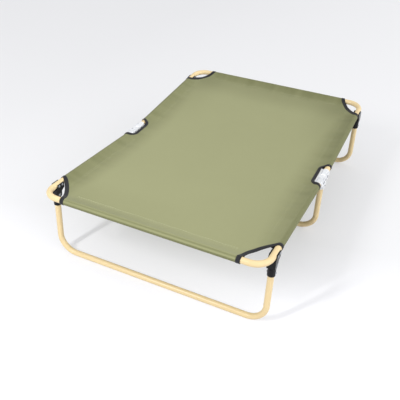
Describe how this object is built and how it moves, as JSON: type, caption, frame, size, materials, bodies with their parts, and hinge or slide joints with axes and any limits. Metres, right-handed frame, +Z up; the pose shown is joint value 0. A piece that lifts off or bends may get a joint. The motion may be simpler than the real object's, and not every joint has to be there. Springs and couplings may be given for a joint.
{
  "type": "raised dog cot",
  "caption": "Folding raised dog cot: a fabric bed with bound cut-outs, sleeved on a hinged tube frame that stands on a fixed middle leg and folding end legs.",
  "frame": {"origin": "on the floor, under the middle of the bed", "axes": "+X along the bed towards the rear, +Y across it to the left, +Z up"},
  "size_m": [0.912, 0.6246, 0.2229],
  "materials": {
    "cream_paint": "cream powder coat, semi-gloss",
    "zinc_plate": "bright zinc plate",
    "rivet_steel": "plain steel, domed heads",
    "black_nylon": "moulded, fine grain",
    "olive_fabric": "tight plain weave",
    "charcoal_tape": "woven binding tape"
  },
  "bodies": {
    "centre": {"middle_leg": "cream_paint", "left_inner_hinge_plate": "zinc_plate", "left_outer_hinge_plate": "zinc_plate", "right_inner_hinge_plate": "zinc_plate", "right_outer_hinge_plate": "zinc_plate", "left_leg_tongue": "zinc_plate", "right_leg_tongue": "zinc_plate", "hinge_pivot_rivets": "rivet_steel", "middle_leg_rivets": "rivet_steel"},
    "front_half": {"front_frame": "cream_paint", "front_left_rail_tongue": "zinc_plate", "front_right_rail_tongue": "zinc_plate", "front_left_leg_bracket": "black_nylon", "front_right_leg_bracket": "black_nylon", "front_leg_pins": "rivet_steel", "front_bracket_rivets": "rivet_steel", "front_fabric": "olive_fabric", "front_left_corner_binding": "charcoal_tape", "front_right_corner_binding": "charcoal_tape", "front_hinge_bindings": "charcoal_tape"},
    "front_folding_leg": {"front_leg": "cream_paint", "front_left_ferrule": "black_nylon", "front_right_ferrule": "black_nylon", "front_ferrule_rivets": "rivet_steel"},
    "rear_half": {"rear_frame": "cream_paint", "rear_left_rail_tongue": "zinc_plate", "rear_right_rail_tongue": "zinc_plate", "rear_left_leg_bracket": "black_nylon", "rear_right_leg_bracket": "black_nylon", "rear_leg_pins": "rivet_steel", "rear_bracket_rivets": "rivet_steel", "rear_fabric": "olive_fabric", "rear_left_corner_binding": "charcoal_tape", "rear_right_corner_binding": "charcoal_tape", "rear_hinge_bindings": "charcoal_tape"},
    "rear_folding_leg": {"rear_leg": "cream_paint", "rear_left_ferrule": "black_nylon", "rear_right_ferrule": "black_nylon", "rear_ferrule_rivets": "rivet_steel"}
  },
  "joints": [
    {"name": "front_half_fold", "type": "hinge", "parent": "centre", "child": "front_half", "pos_m": [-0.018, 0, 0.1825], "axis": [0, 1, 0], "range_deg": [0, 86]},
    {"name": "rear_half_fold", "type": "hinge", "parent": "centre", "child": "rear_half", "pos_m": [0.018, 0, 0.1825], "axis": [0, -1, 0], "range_deg": [0, 86]},
    {"name": "front_leg_fold", "type": "hinge", "parent": "front_half", "child": "front_folding_leg", "pos_m": [-0.39526, 0, 0.18482], "axis": [0, -1, 0], "range_deg": [0, 90]},
    {"name": "rear_leg_fold", "type": "hinge", "parent": "rear_half", "child": "rear_folding_leg", "pos_m": [0.39526, 0, 0.18482], "axis": [0, 1, 0], "range_deg": [0, 90]}
  ]
}
